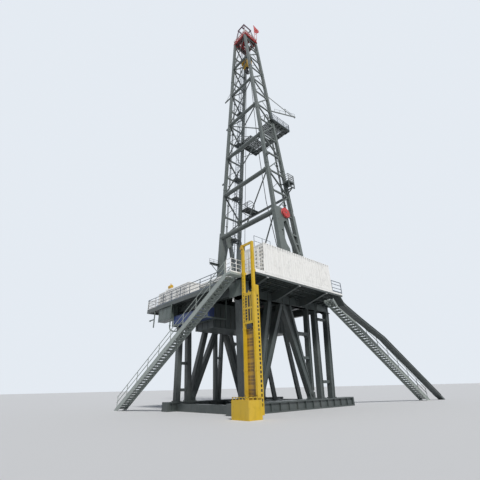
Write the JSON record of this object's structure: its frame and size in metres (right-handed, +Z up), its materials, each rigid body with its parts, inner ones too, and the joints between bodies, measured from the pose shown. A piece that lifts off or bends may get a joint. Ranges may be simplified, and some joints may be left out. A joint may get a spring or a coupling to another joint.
{
  "type": "half-scale model of a land drilling rig",
  "caption": "Land drilling rig: tapered open mast on a raised floor with legs, doghouse, long stairs, lift, racking board, crown and travelling block.",
  "frame": {"origin": "on the ground under the well centre, at the centre of the open ring in the base frame", "axes": "+X forward away from the rear stair and lift, +Y to the rig's left, +Z up"},
  "size_m": [15.6869, 9.5211, 28.91],
  "materials": {
    "substructure": "satin dark grey-green paint",
    "mast_paint": "satin grey-green paint",
    "white_paint": "satin white paint",
    "red_paint": "satin red paint",
    "yellow_paint": "satin yellow paint",
    "grey_paint": "light grey-green paint",
    "rail_paint": "blue-grey paint",
    "blue_paint": "blue paint",
    "dark_steel": "dark steel",
    "purple_paint": "dark purple-red paint"
  },
  "bodies": {
    "rig": {"base_skids": "substructure", "base_cross": "substructure", "columns": "substructure", "legs_right": "substructure", "legs_left": "substructure", "girders_long": "substructure", "girders_cross": "substructure", "lower_box": "substructure", "floor_plate": "substructure", "house_platform": "white_paint", "doghouse": "white_paint", "rails_rear": "rail_paint", "rails_left": "rail_paint", "rails_front": "rail_paint", "drawworks": "white_paint", "rotary_table": "red_paint", "hung_cabinet": "grey_paint", "tank_cradle": "grey_paint", "under_tank": "blue_paint", "mast_right": "mast_paint", "mast_left": "mast_paint", "mast_tubes": "mast_paint", "mast_braces": "mast_paint", "stabbing_board": "mast_paint", "side_platform": "mast_paint", "racking_board": "substructure", "racking_rails": "rail_paint", "racking_jib": "mast_paint", "crown_frame": "red_paint", "crown_sheaves": "red_paint", "crown_rails": "white_paint", "gin_frame": "purple_paint", "drill_lines": "dark_steel", "anchor_lines": "dark_steel", "lift_frame": "yellow_paint", "stair_stringers": "grey_paint", "stair_treads": "grey_paint", "stair_rails": "grey_paint", "front_chute": "substructure"},
    "door": {"doghouse_door": "white_paint"},
    "sheave_right": {"sheave_right": "red_paint"},
    "sheave_left": {"sheave_left": "red_paint"},
    "block": {"travelling_block": "yellow_paint", "hook": "dark_steel"},
    "lift": {"lift_carriage": "yellow_paint"}
  },
  "joints": [
    {"name": "block_hoist", "type": "slide", "parent": "rig", "child": "block", "axis": [0, 0, 1], "range_m": [-17.6, 1.2], "deforming": ["drill_lines"]},
    {"name": "lift_travel", "type": "slide", "parent": "rig", "child": "lift", "axis": [0, 0, 1], "range_m": [-2.4, 1.5]},
    {"name": "sheave_right_spin", "type": "hinge", "parent": "rig", "child": "sheave_right", "pos_m": [0, -2.41096, 8.99702], "axis": [0, 0.9959, -0.0902], "continuous": true},
    {"name": "sheave_left_spin", "type": "hinge", "parent": "rig", "child": "sheave_left", "pos_m": [0, 2.41096, 8.99702], "axis": [0, 0.9959, 0.0902], "continuous": true},
    {"name": "door_hinge", "type": "hinge", "parent": "rig", "child": "door", "pos_m": [-3.533, -3.644, 5], "axis": [0, 0, 1], "range_deg": [0, 100]}
  ]
}
